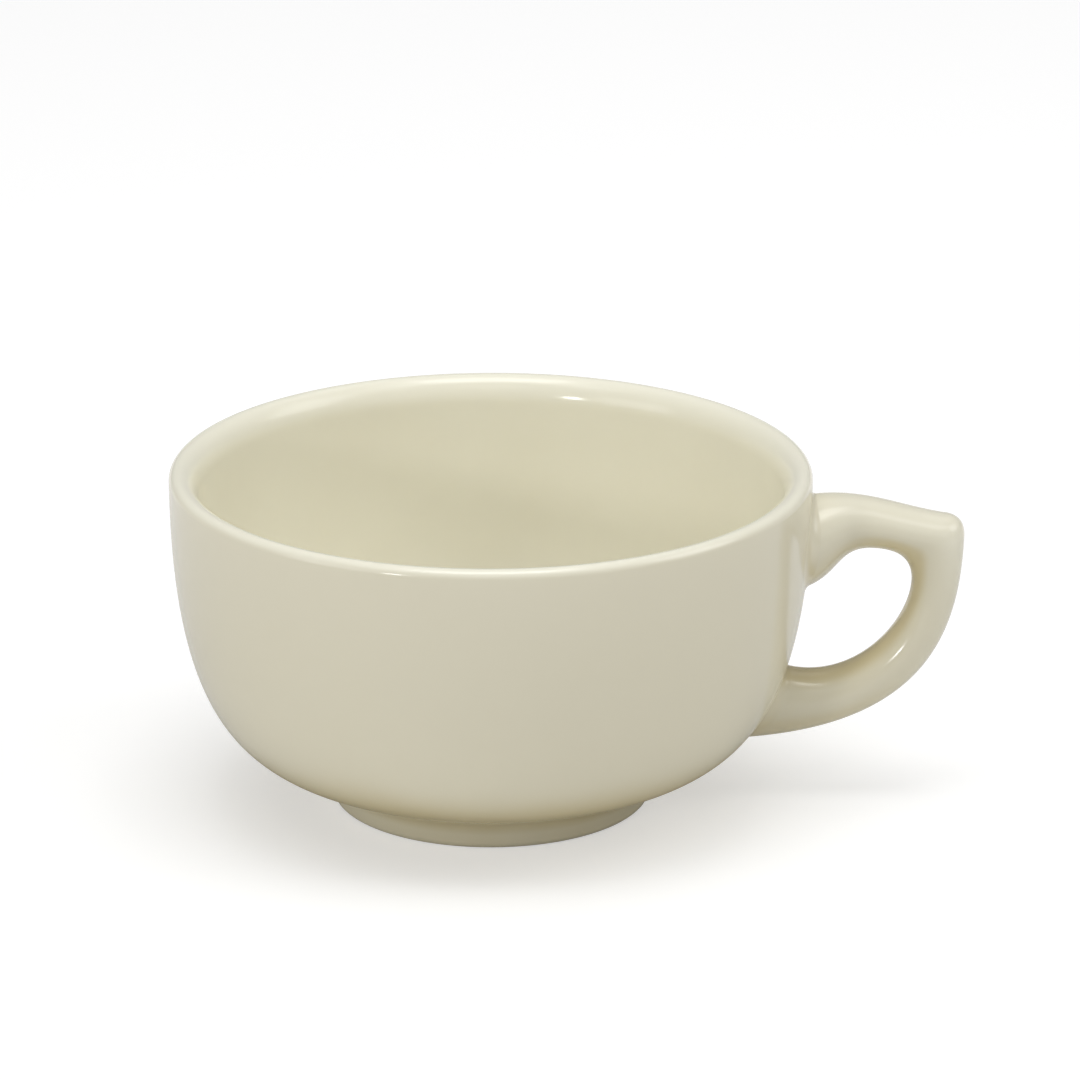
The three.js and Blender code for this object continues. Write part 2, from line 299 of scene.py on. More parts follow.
@dataclass(frozen=True)
class ProfilePoint:
    """A point of a turned profile: radius, height and how thick the glaze lies there, with painted light
    and shade.
    """

    radius: float
    height: float
    depth: float = Depth.EVEN.value


@dataclass(frozen=True)
class RingPoint:
    """A point of a drawn ring and how thick the glaze lies there, with painted light and shade."""

    place: Vector
    depth: float = Depth.EVEN.value


class Path:
    """A polyline in the cup's own plane, measured along its length."""

    def __init__(self, points: Sequence[Vector]) -> None:
        """Measures the polyline.

        Args:
            points: Points in order, radius first and height second.
        """
        self.points = list(points)
        steps = [(end - start).length for start, end in pairwise(self.points)]
        self.marks = [0.0, *accumulate(steps)]

    @property
    def length(self) -> float:
        """The whole length."""
        return self.marks[-1]

    def at(self, distance: float) -> Vector:
        """Finds the point a distance along the path, on its straight extension past either end.

        Args:
            distance: Length from the start.

        Returns:
            The point there.
        """
        index = bisect.bisect_right(self.marks, distance) - 1
        index = min(max(index, 0), len(self.points) - 2)
        step = self.marks[index + 1] - self.marks[index]
        return self.points[index].lerp(self.points[index + 1], (distance - self.marks[index]) / step)


def cubic(*corners: Vector) -> list[Vector]:
    """Samples a cubic Bezier curve through four corners."""
    return interpolate_bezier(*corners, CURVE_POINTS)


def quadratic(start: Vector, corner: Vector, end: Vector, count: int) -> list[Vector]:
    """Samples a quadratic Bezier curve.

    Args:
        start: First point.
        corner: The point that both end tangents pass through.
        end: Last point.
        count: How many points, both ends among them.

    Returns:
        The points in order.
    """
    return interpolate_bezier(start, start.lerp(corner, 2 / 3), end.lerp(corner, 2 / 3), end, count)


def turned(
    profile: Sequence[ProfilePoint], axis_x: float, segments: int, closed: bool
) -> bmesh.types.BMesh:
    """Turns a profile about the cup's axis.

    Args:
        profile: Points from one end to the other.
        axis_x: Where the axis stands along X.
        segments: Steps in the full turn.
        closed: Whether the last point joins the first, as on a ring.

    Returns:
        The turned mesh, with its poles merged and faces outwards.
    """
    shape = bmesh.new()
    depth = shape.verts.layers.float.new(GLAZE_DEPTH_AND_SHADE)
    verts = []
    for point in profile:
        vert = shape.verts.new((axis_x + point.radius, 0, point.height))
        vert[depth] = point.depth
        verts.append(vert)
    rows = list(pairwise(verts))
    if closed:
        rows.append((verts[-1], verts[0]))
    edges = [shape.edges.new(row) for row in rows]
    bmesh.ops.spin(
        shape, geom=verts + edges, cent=(axis_x, 0, 0), axis=UP, angle=2 * math.pi, steps=segments,
        use_merge=True)
    bmesh.ops.remove_doubles(shape, verts=shape.verts, dist=WELD)
    bmesh.ops.recalc_face_normals(shape, faces=shape.faces)
    return shape


def drawn(rings: Sequence[Sequence[RingPoint]], looped: bool) -> bmesh.types.BMesh:
    """Draws a skin out through rings of points, one extrusion for each ring.

    Args:
        rings: Rings in order, each with the same number of points.
        looped: Whether the last ring joins the first. If not, both ends are capped.

    Returns:
        The closed mesh, with faces outwards.
    """
    shape = bmesh.new()
    depth = shape.verts.layers.float.new(GLAZE_DEPTH_AND_SHADE)
    side = shape.verts.layers.int.new("side")
    verts = bmesh.ops.create_circle(shape, segments=len(rings[0]), radius=1)["verts"]
    for number, vert in enumerate(verts):
        vert[side] = number
    edges = list(shape.edges)
    ends = [edges]
    for number, ring in enumerate([*rings, rings[0]] if looped else rings):
        if number > 0:
            grown = bmesh.ops.extrude_edge_only(shape, edges=edges)["geom"]
            verts = [part for part in grown if isinstance(part, bmesh.types.BMVert)]
            fresh = set(verts)
            edges = [
                part for part in grown
                if isinstance(part, bmesh.types.BMEdge) and fresh.issuperset(part.verts)]
        for vert in verts:
            vert.co = ring[vert[side]].place
            vert[depth] = ring[vert[side]].depth
    ends.append(edges)
    if looped:
        bmesh.ops.remove_doubles(shape, verts=shape.verts, dist=WELD)
    else:
        for end in ends:
            bmesh.ops.contextual_create(shape, geom=end)
    bmesh.ops.recalc_face_normals(shape, faces=shape.faces)
    return shape


def finished(
    name: str, shape: bmesh.types.BMesh, node: Node, finishes: Sequence[bpy.types.Material]
) -> bpy.types.Object:
    """Makes a piece of a mesh, gives it its finishes and ties it to the frame.

    Args:
        name: The piece's name.
        shape: Its mesh, which is freed.
        node: The CAD piece that it stands for.
        finishes: Its materials, by face number.

    Returns:
        The piece's object.
    """
    for face in shape.faces:
        face.smooth = True
    for edge in shape.edges:
        edge.smooth = edge.calc_face_angle(0) < CREASE
    mesh = bpy.data.meshes.new(name)
    shape.to_mesh(mesh)
    shape.free()
    for finish in finishes:
        mesh.materials.append(finish)
    piece = bpy.data.objects.new(name, mesh)
    bpy.context.scene.collection.objects.link(piece)
    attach(piece, BODY)
    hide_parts(node.value)
    log.info("%s stands for %s: %d faces", name, node.value, len(mesh.polygons))
    return piece


@dataclass
class Bowl:
    """Wall, floor and full round rim, turned in one."""

    axis_x: float
    rim_radius: float
    height: float
    land_radius: float
    land_height: float
    rim_thickness: float = 5.0 * MM
    base_thickness: float = 5.0 * MM
    dish_depth: float = 0.5 * MM
    cove_rise: float = 3.0 * MM
    belly_length: float = 9.6 * MM
    belly_angle: float = math.radians(30)
    shoulder_length: float = 54.5 * MM
    rim_outer_round: float = 1.6 * MM
    rim_inner_drop: float = 5.0 * MM
    # Height over which the lower belly deepens: pooled glaze and painted shade.
    pool_and_shade_height: float = 17.0 * MM
    # Inside glaze, lighter than the outside: painted light.
    inner_painted_light_depth: float = 0.16
    segments: int = 256
    wall_steps: int = 48
    rim_steps: int = 12
    cove_steps: int = 16

    def __post_init__(self) -> None:
        """Lays out the outer wall, from the land beside the foot up to the rim."""
        wall_top = self.height - self.rim_outer_round
        start = Vector((self.land_radius, self.land_height))
        lean = Vector((math.cos(self.belly_angle), math.sin(self.belly_angle)))
        self.wall = cubic(
            start, start + lean * self.belly_length,
            Vector((self.rim_radius, wall_top - self.shoulder_length)),
            Vector((self.rim_radius, wall_top)))
        self.wall_heights = [point.y for point in self.wall]

    def wall_at(self, height: float) -> tuple[float, float]:
        """Measures the outer wall at a height.

        Args:
            height: Height above the table.

        Returns:
            The wall's radius, and how upright it is, as the sine of its angle.
        """
        index = min(max(bisect.bisect_right(self.wall_heights, height), 1), len(self.wall) - 1)
        low, high = self.wall[index - 1], self.wall[index]
        run = high - low
        share = min(max((height - low.y) / run.y, 0.0), 1.0)
        return low.x + run.x * share, run.normalized().y

    def stand_off(self, place: Vector) -> float:
        """Measures how far a point stands off the outer wall, square to the wall."""
        radius, upright = self.wall_at(place.z)
        return (math.hypot(place.x - self.axis_x, place.y) - radius) * upright

    def inner_wall(self) -> list[Vector]:
        """Offsets the outer wall inwards, thicker towards the base.

        Returns:
            Points from the floor's edge up to the rim.
        """
        points = []
        for index, point in enumerate(self.wall):
            before, after = self.wall[max(index - 1, 0)], self.wall[min(index + 1, len(self.wall) - 1)]
            run = (after - before).normalized()
            share = index / (len(self.wall) - 1)
            thickness = lerp(self.base_thickness, self.rim_thickness, share)
            points.append(point + Vector((-run.y, run.x)) * thickness)
        return points

    def outer_depth_and_shade(self, height: float) -> float:
        """Gives the glaze's depth on the outer wall, which pools towards the foot and darkens the lower
        belly as painted shade.
        """
        share = smoothstep(self.land_height, self.land_height + self.pool_and_shade_height, height)
        return lerp(Depth.POOLED_AND_SHADED.value, Depth.EVEN.value, share)

    def rim_profile(self) -> list[ProfilePoint]:
        """Rounds the rim, tightly outside and in a longer roll inside.

        Returns:
            Points over the rim, from the outer wall to the inner wall.
        """
        crest = self.rim_radius - self.rim_outer_round
        inner_round = self.rim_thickness - self.rim_outer_round
        points = []
        for step in range(2 * self.rim_steps + 1):
            angle = math.pi / 2 * step / self.rim_steps
            outside = step < self.rim_steps
            across = self.rim_outer_round if outside else inner_round
            drop = self.rim_outer_round if outside else self.rim_inner_drop
            rest = Depth.EVEN.value if outside else self.inner_painted_light_depth
            points.append(ProfilePoint(
                crest + across * math.cos(angle), self.height - drop * (1 - math.sin(angle)),
                lerp(rest, Depth.THIN.value, math.sin(angle))))
        return points

    def profile(self) -> list[ProfilePoint]:
        """Strings the land, outer wall, rim, inner wall and floor into one profile.

        Returns:
            Points from the axis under the floor to the axis on the floor.
        """
        stride = len(self.wall) / self.wall_steps
        picks = [min(round(step * stride), len(self.wall) - 1) for step in range(self.wall_steps + 1)]
        inner = self.inner_wall()
        points = [ProfilePoint(0, self.land_height)]
        points += [
            ProfilePoint(self.wall[pick].x, self.wall[pick].y, self.outer_depth_and_shade(self.wall[pick].y))
            for pick in picks]
        points += self.rim_profile()
        inner_top = self.height - self.rim_inner_drop
        cove = self.floor_cove(inner)
        points += [
            ProfilePoint(inner[pick].x, inner[pick].y, self.inner_painted_light_depth)
            for pick in reversed(picks) if cove[0].y < inner[pick].y < inner_top]
        points += [ProfilePoint(point.x, point.y, self.inner_painted_light_depth) for point in cove]
        points.append(ProfilePoint(0, cove[-1].y, self.inner_painted_light_depth))
        return points

    def floor_cove(self, inner: Sequence[Vector]) -> list[Vector]:
        """Rounds the corner between the inner wall and the floor.

        Args:
            inner: The inner wall, from the floor's edge up.

        Returns:
            Points from the wall down to the flat floor.
        """
        floor = inner[0].y - self.dish_depth
        index = sum(point.y < floor + self.cove_rise for point in inner)
        start = inner[index]
        run = inner[index - 1] - start
        corner = start + run * ((floor - start.y) / run.y)
        return quadratic(start, corner, corner - Vector(((corner - start).length, 0)), self.cove_steps)

    def build(self, glaze: bpy.types.Material) -> bpy.types.Object:
        """Turns the bowl and glazes it."""
        shape = turned(self.profile(), self.axis_x, self.segments, closed=False)
        return finished("china_bowl", shape, Node.BOWL, [glaze])


@dataclass
class Foot:
    """Foot ring with a dry contact band, and the slip that joins it to the bowl."""

    bowl: Bowl
    radius: float
    ring_width: float = 5.2 * MM
    edge_radius: float = 1.2 * MM
    fillet: float = 2.2 * MM
    overlap: float = 0.5 * MM
    dry_height: float = 0.25 * MM
    edge_steps: int = 12
    fillet_steps: int = 16
    # Foot ring a little deeper than even: pooled glaze and painted shade under the belly.
    ring_pool_and_shade: float = 0.62
    # Deeper still in the groove under the bowl: pooled glaze and painted shade.
    seam_pool_and_shade: float = 0.8

    @property
    def well_radius(self) -> float:
        """Radius of the recessed well inside the ring."""
        return self.radius - self.ring_width

    def ring_profile(self) -> list[ProfilePoint]:
        """Rounds the ring's two lower edges.

        Returns:
            Points round the ring's section, from its top inner corner.
        """
        top = self.bowl.land_height - self.overlap
        edge = self.edge_radius
        points = [ProfilePoint(self.well_radius, top, self.ring_pool_and_shade)]
        for centre, start in ((self.well_radius + edge, math.pi), (self.radius - edge, 1.5 * math.pi)):
            for step in range(self.edge_steps + 1):
                angle = start + math.pi / 2 * step / self.edge_steps
                points.append(ProfilePoint(
                    centre + edge * math.cos(angle), edge + edge * math.sin(angle), self.ring_pool_and_shade))
        points.append(ProfilePoint(self.radius, top, self.ring_pool_and_shade))
        return points

    def slip_profile(self) -> list[ProfilePoint]:
        """Sweeps two hollow fillets from the ring's faces to the bowl's underside.

        Returns:
            Points round the slip's section, with its hidden sides inside the ring and the bowl.
        """
        bowl = self.bowl
        land = bowl.land_height
        slope = math.tan(bowl.belly_angle)
        corner_z = land - (bowl.land_radius - self.radius) * slope
        outer = quadratic(
            Vector((self.radius, corner_z - self.fillet)), Vector((self.radius, corner_z)),
            Vector((self.radius + self.fillet, corner_z + self.fillet * slope)), self.fillet_steps)
        inner = quadratic(
            Vector((self.well_radius - self.fillet, land)), Vector((self.well_radius, land)),
            Vector((self.well_radius, land - self.fillet)), self.fillet_steps)
        buried = [
            Vector((self.radius, land + self.overlap)), Vector((self.well_radius, land + self.overlap))]
        points = []
        for fillet in (outer, buried, inner):
            for index, point in enumerate(fillet):
                # The glaze deepens towards the middle of each fillet: pooled glaze and painted shade in
                # the groove.
                share = math.sin(math.pi * index / (len(fillet) - 1))
                depth = lerp(self.ring_pool_and_shade, self.seam_pool_and_shade, share)
                points.append(ProfilePoint(point.x, point.y, depth))
        seat = land - self.fillet - self.overlap
        points.append(ProfilePoint(self.well_radius + self.overlap, seat))
        points.append(ProfilePoint(self.radius - self.overlap, seat))
        return points

    def build(
        self, glaze: bpy.types.Material, slip: bpy.types.Material, dry: bpy.types.Material
    ) -> list[bpy.types.Object]:
        """Turns the ring and the slip, and leaves the contact band dry.

        Args:
            glaze: Finish of the ring.
            slip: Finish of the slip.
            dry: Finish of the contact band.

        Returns:
            The ring and the slip.
        """
        ring = turned(self.ring_profile(), self.bowl.axis_x, self.bowl.segments, closed=True)
        for face in ring.faces:
            face.material_index = int(face.calc_center_median().z < self.dry_height)
        seam = turned(self.slip_profile(), self.bowl.axis_x, self.bowl.segments, closed=True)
        return [
            finished("foot", ring, Node.FOOT, [glaze, dry]),
            finished("foot_seam_slip", seam, Node.FOOT_SLIP, [slip]),
        ]


@dataclass(frozen=True)
class SlipSizes:
    """Sizes of a root's fillet: on its flanks, on its outer side and on the finger hole's side."""

    flank: float
    over: float
    under: float


@dataclass
class Handle:
    """Cast loop handle with a blunt spur, and the sponged slip at its two roots.

    Radii and heights are from the cup's axis and the table, and stations run from 0 in the upper root to
    3 in the lower root. Pools and the thin crest are steps of glaze depth, which also paint shade round
    the finger hole, under the lower arm and at the roots, and light over the upper arm's top. They set
    in along a span of stations and across an edge, which is a cosine round the section: 1 on the outer
    rail and -1 at the finger hole.
    """

    bowl: Bowl
    reach: float = 27.2 * MM
    root_bite: float = 7.0 * MM
    spur_drop: float = 9.35 * MM
    spur_round: float = 3.4 * MM
    arm_root_rise: float = 1.6 * MM
    arm_arch: Vector = Vector((14.6, 7.6)) * MM
    spur_arm: Vector = Vector((12.2, 0.7)) * MM
    strap_fall: float = 20.6 * MM
    lower_arm_z: float = 10.3 * MM
    lower_arm_length: float = 43.8 * MM
    lower_root_radius: float = 36.0 * MM
    strap_thickness: float = 9.3 * MM
    hole_top: Vector = Vector((10.3, -14.9)) * MM
    hole_arch_height: float = 6.2 * MM
    hole_arch_fullness: float = 0.64
    upper_root_drop: float = 22.7 * MM
    upper_root_length: float = 12.4 * MM
    upper_neck_length: float = 7.3 * MM
    hole_fall: float = 10.3 * MM
    lower_root: Vector = Vector((8.0, 29.1)) * MM
    lower_root_run: Vector = Vector((15.5, -14.4)) * MM
    upper_root_width: float = 22.0 * MM
    arm_width: float = 11.0 * MM
    strap_width: float = 10.0 * MM
    lower_root_width: float = 11.6 * MM
    # Pooled glaze and painted shade round the finger hole and under the lower arm.
    root_pool_and_shade: float = 0.12
    inner_pool_and_shade: float = 0.3
    under_pool_and_shade: float = 0.2
    # Thin glaze and painted light over the upper arm's top.
    crest_thin_and_lit: float = 0.24
    arm_pool_shade_edge: float = 0.08
    strap_pool_shade_edge: float = -0.45
    pool_shade_fade: float = 0.5
    edge_span: tuple[float, float] = (1.2, 2.4)
    inner_span: tuple[float, float] = (0.5, 1.3)
    under_edge: tuple[float, float] = (-0.05, 0.55)
    under_span: tuple[float, float] = (2.1, 2.6)
    crest_edge: tuple[float, float] = (-0.4, 0.6)
    crest_span: tuple[float, float] = (2.2, 1.6)
    # Pooled glaze and painted shade in the roots' hollow fillets.
    joint_pool_and_shade: float = 0.15
    fullness: float = 2.05
    root_depth: float = 1.6 * MM
    upper_slip: SlipSizes = SlipSizes(flank=2.6 * MM, over=1.0 * MM, under=0.5 * MM)
    lower_slip: SlipSizes = SlipSizes(flank=3.0 * MM, over=1.4 * MM, under=1.4 * MM)
    slip_depth: float = 0.8 * MM
    slip_sink: float = 0.015 * MM
    sides: int = 72
    span_rings: int = 80
    easing_passes: int = 80
    fillet_rings: int = 28

    def __post_init__(self) -> None:
        """Lays out both rails and where each span starts along them."""
        outer_x = self.bowl.rim_radius + self.reach
        root_x = self.bowl.rim_radius - self.root_bite
        top = self.bowl.height
        spur = Vector((outer_x, top - self.spur_drop))
        arm_root = Vector((root_x, spur.y + self.arm_root_rise))
        arm = cubic(
            arm_root, Vector((root_x + self.arm_arch.x, spur.y + self.arm_arch.y)),
            spur + Vector((-self.spur_arm.x, self.spur_arm.y)), spur)
        strap = cubic(
            spur, spur - Vector((0, self.strap_fall)),
            Vector((self.lower_root_radius + self.lower_arm_length, self.lower_arm_z)),
            Vector((self.lower_root_radius, self.lower_arm_z)))
        hole_top = Vector((self.bowl.rim_radius, top)) + self.hole_top
        hole_side = Vector((outer_x - self.strap_thickness, hole_top.y - self.hole_arch_height))
        root_inner = Vector((root_x, top - self.upper_root_drop))
        lower_inner = Vector((self.lower_root_radius, 0)) + self.lower_root
        root = cubic(
            root_inner, root_inner + Vector((self.upper_root_length, 0)),
            hole_top - Vector((self.upper_neck_length, 0)), hole_top)
        arch = cubic(
            hole_top, hole_top.lerp(Vector((hole_side.x, hole_top.y)), self.hole_arch_fullness),
            hole_side.lerp(Vector((hole_side.x, hole_top.y)), self.hole_arch_fullness), hole_side)
        drop = cubic(
            hole_side, hole_side - Vector((0, self.hole_fall)),
            lower_inner + self.lower_root_run, lower_inner)
        arm_kept = [point for point in arm if (point - spur).length > self.spur_round]
        strap_kept = [point for point in strap if (point - spur).length > self.spur_round]
        corner = quadratic(arm_kept[-1], spur, strap_kept[0], CORNER_POINTS)
        self.outer = Path(arm_kept + corner[1:-1] + strap_kept)
        self.inner = Path(root + arch[1:] + drop[1:])
        arm_end = sum((point - arm_root).length < hole_top.x - root_x for point in arm)
        strap_start = sum((point - spur).length < spur.y - hole_side.y for point in strap)
        strap_mark = len(self.outer.points) - (len(strap) - strap_start)
        self.outer_marks = self.even_marks(self.outer, arm_end, strap_mark)
        self.inner_marks = self.even_marks(self.inner, len(root) - 1, len(root) + len(arch) - 2)

    def even_marks(self, rail: Path, arm_end: int, strap_start: int) -> Path:
        """Spaces stations evenly in each span and eases the change of pace between spans.

        Args:
            rail: The rail.
            arm_end: Number of the rail's point at the arm's end.
            strap_start: Number of the rail's point at the strap's start.

        Returns:
            A path whose first coordinate is the station and whose second is the length along the rail.
        """
        knots = [0.0, rail.marks[arm_end], rail.marks[strap_start], rail.length]
        lengths = []
        for low, high in pairwise(knots):
            lengths += [lerp(low, high, step / self.span_rings) for step in range(self.span_rings)]
        lengths.append(rail.length)
        for _ in range(self.easing_passes):
            lengths = [
                lengths[0],
                *((before + after) / 2 for before, after in zip(lengths, lengths[2:])),
                lengths[-1]]
        return Path([Vector((index / self.span_rings, length)) for index, length in enumerate(lengths)])

    def rail_at(self, rail: Path, marks: Path, station: float) -> Vector:
        """Finds a rail's point at a station.

        Args:
            rail: The rail.
            marks: Its stations and lengths.
            station: Where along the handle.

        Returns:
            The point there.
        """
        index = min(max(int(station * self.span_rings), 0), len(marks.points) - 2)
        share = station * self.span_rings - index
        return rail.at(lerp(marks.points[index].y, marks.points[index + 1].y, share))

    def width_at(self, station: float) -> float:
        """Finds the handle's width across the cup, which eases from one whole station to the next.

        Args:
            station: Where along the handle.

        Returns:
            The width.
        """
        widths = [self.upper_root_width, self.arm_width, self.strap_width, self.lower_root_width]
        span = min(max(int(station), 0), len(widths) - 2)
        return lerp(widths[span], widths[span + 1], smoothstep(span, span + 1, station))

    def glaze_and_shade_at(self, station: float, side: int) -> float:
        """Finds how thick the glaze lies on the loop.

        It pools round the finger hole and under the lower arm, where it also paints shade, and runs thin
        over the upper arm's crest, where it also paints light.

        Args:
            station: Where along the handle.
            side: Which side line, from 0 on the outer rail.

        Returns:
            The depth.
        """
        outwards = math.cos(2 * math.pi * side / self.sides)
        edge = lerp(self.arm_pool_shade_edge, self.strap_pool_shade_edge, smoothstep(*self.edge_span, station))
        inner = lerp(self.root_pool_and_shade, self.inner_pool_and_shade, smoothstep(*self.inner_span, station))
        # Painted shade round the finger hole and under the lower arm, on top of pooled glaze.
        pooled_shade = inner * smoothstep(edge, edge - self.pool_shade_fade, outwards)
        under = smoothstep(*self.under_edge, outwards) * smoothstep(*self.under_span, station)
        # Painted light over the upper arm's top, on top of thin glaze.
        crest = smoothstep(*self.crest_edge, outwards) * smoothstep(*self.crest_span, station)
        return Depth.EVEN.value + pooled_shade + self.under_pool_and_shade * under - self.crest_thin_and_lit * crest

    def side_point(self, station: float, side: int, growth: float = 0.0) -> Vector:
        """Finds a point of the handle's rounded section.

        Args:
            station: Where along the handle.
            side: Which side line, from 0 on the outer rail.
            growth: How far the section is grown.

        Returns:
            The point in the part's frame.
        """
        outer = self.rail_at(self.outer, self.outer_marks, station)
        inner = self.rail_at(self.inner, self.inner_marks, station)
        half_width = self.width_at(station) / 2 + growth
        angle = 2 * math.pi * side / self.sides
        depth, across = (
            math.copysign(abs(value) ** (2 / self.fullness), value)
            for value in (math.cos(angle), math.sin(angle)))
        middle = (outer + inner) / 2
        spot = middle + (outer - inner).normalized() * ((outer - inner).length / 2 + growth) * depth
        return Vector((self.bowl.axis_x + spot.x, half_width * across, spot.y))

    def station_off(
        self, side: int, growth: float, distance: float, wall_end: float, free_end: float
    ) -> float:
        """Finds where a root's side line stands a distance off the bowl's wall.

        Args:
            side: Which side line.
            growth: How far the section is grown.
            distance: Distance off the wall, negative inside it.
            wall_end: A station inside the wall.
            free_end: A station clear of the wall.

        Returns:
            The station.
        """
        for _ in range(SOLVER_STEPS):
            middle = (wall_end + free_end) / 2
            if self.bowl.stand_off(self.side_point(middle, side, growth)) < distance:
                wall_end = middle
            else:
                free_end = middle
        return free_end

    def spot_off(
        self, side: int, growth: float, distance: float, wall_end: float, free_end: float
    ) -> Vector:
        """Finds the point where a root's side line stands a distance off the bowl's wall."""
        station = self.station_off(side, growth, distance, wall_end, free_end)
        return self.side_point(station, side, growth)

    def loop_rings(self) -> list[list[RingPoint]]:
        """Strings the handle's rings from just inside the wall to just inside it again.

        Returns:
            The rings in order.
        """
        starts = [
            self.station_off(side, 0, -self.root_depth, Station.UPPER_ROOT, Station.ARM_END)
            for side in range(self.sides)]
        ends = [
            self.station_off(side, 0, -self.root_depth, Station.LOWER_ROOT, Station.STRAP_START)
            for side in range(self.sides)]
        rings = []
        for step in range(Station.LOWER_ROOT * self.span_rings + 1):
            pace = step / self.span_rings
            ring = []
            for side in range(self.sides):
                station = pace
                if pace < Station.ARM_END:
                    station = lerp(starts[side], Station.ARM_END, pace)
                elif pace > Station.STRAP_START:
                    station = lerp(Station.STRAP_START, ends[side], pace - Station.STRAP_START)
                ring.append(RingPoint(self.side_point(station, side), self.glaze_and_shade_at(station, side)))
            rings.append(ring)
        return rings

    def slip_rings(self, wall_end: float, free_end: float, sizes: SlipSizes) -> list[list[RingPoint]]:
        """Sweeps a hollow fillet round a root, from the wall onto the handle.

        Args:
            wall_end: A station inside the wall.
            free_end: A station clear of the wall.
            sizes: Sizes of the fillet round the root.

        Returns:
            Rings from the wall to the handle, and a last one buried in both.
        """
        columns = []
        for side in range(self.sides):
            turn = 2 * math.pi * side / self.sides
            edge = sizes.over if math.cos(turn) > 0 else sizes.under
            size = lerp(edge, sizes.flank, math.sin(turn) ** 2)
            # The wall curves away beside the root, so its tangent there stands off it by this much
            bulge = (size * math.sin(turn)) ** 2 / (2 * self.bowl.rim_radius)
            fillet = quadratic(
                self.spot_off(side, size, -self.slip_sink, wall_end, free_end),
                self.spot_off(side, 0, bulge, wall_end, free_end),
                self.spot_off(side, -self.slip_sink, size, wall_end, free_end), self.fillet_rings)
            handle_depth = self.glaze_and_shade_at(self.station_off(side, 0, size, wall_end, free_end), side)
            column = []
            for index, place in enumerate(fillet):
                share = index / (len(fillet) - 1)
                depth = lerp(Depth.EVEN.value, handle_depth, share)
                # Pooled glaze and painted shade deepen the middle of the fillet.
                depth += self.joint_pool_and_shade * math.sin(math.pi * share)
                column.append(RingPoint(place, depth))
            hidden = self.spot_off(side, -self.slip_depth, -self.slip_depth, wall_end, free_end)
            column.append(RingPoint(hidden))
            columns.append(column)
        return [list(ring) for ring in zip(*columns)]

    def build(self, glaze: bpy.types.Material, slip: bpy.types.Material) -> list[bpy.types.Object]:
        """Draws the loop and the slip at its roots.

        Args:
            glaze: Finish of the loop.
            slip: Finish of the slip.

        Returns:
            The loop, the upper slip and the lower slip.
        """
        upper = self.slip_rings(Station.UPPER_ROOT, Station.ARM_END, self.upper_slip)
        lower = self.slip_rings(Station.LOWER_ROOT, Station.STRAP_START, self.lower_slip)
        loop = drawn(self.loop_rings(), looped=False)
        return [
            finished("loop_handle", loop, Node.HANDLE, [glaze]),
            finished("upper_root_slip", drawn(upper, looped=True), Node.UPPER_SLIP, [slip]),
            finished("lower_root_slip", drawn(lower, looped=True), Node.LOWER_SLIP, [slip]),
        ]


@dataclass(frozen=True)
class Lamp:
    """A soft lamp that faces the cup.

    Its azimuth is in degrees round from the camera's side, to the left of it where negative, and its
    elevation in degrees above the table. Its sides are in metres and its power in watts.
    """

    name: str
    azimuth: float
    elevation: float
    width: float
    height: float
    power: float

    def hang(self, target: Vector, distance: float) -> None:
        """Hangs the lamp.

        Args:
            target: The point that it faces.
            distance: How far from that point it hangs.
        """
        turn, tilt = math.radians(self.azimuth), math.radians(self.elevation)
        way = Vector((math.sin(turn) * math.cos(tilt), -math.cos(turn) * math.cos(tilt), math.sin(tilt)))
        data = bpy.data.lights.new(self.name, "AREA")
        data.shape = "RECTANGLE"
        data.size = self.width
        data.size_y = self.height
        data.energy = self.power
        lamp = bpy.data.objects.new(self.name, data)
        lamp.location = target + way * distance
        lamp.rotation_euler = way.to_track_quat("Z", "Y").to_euler()
        bpy.context.scene.collection.objects.link(lamp)


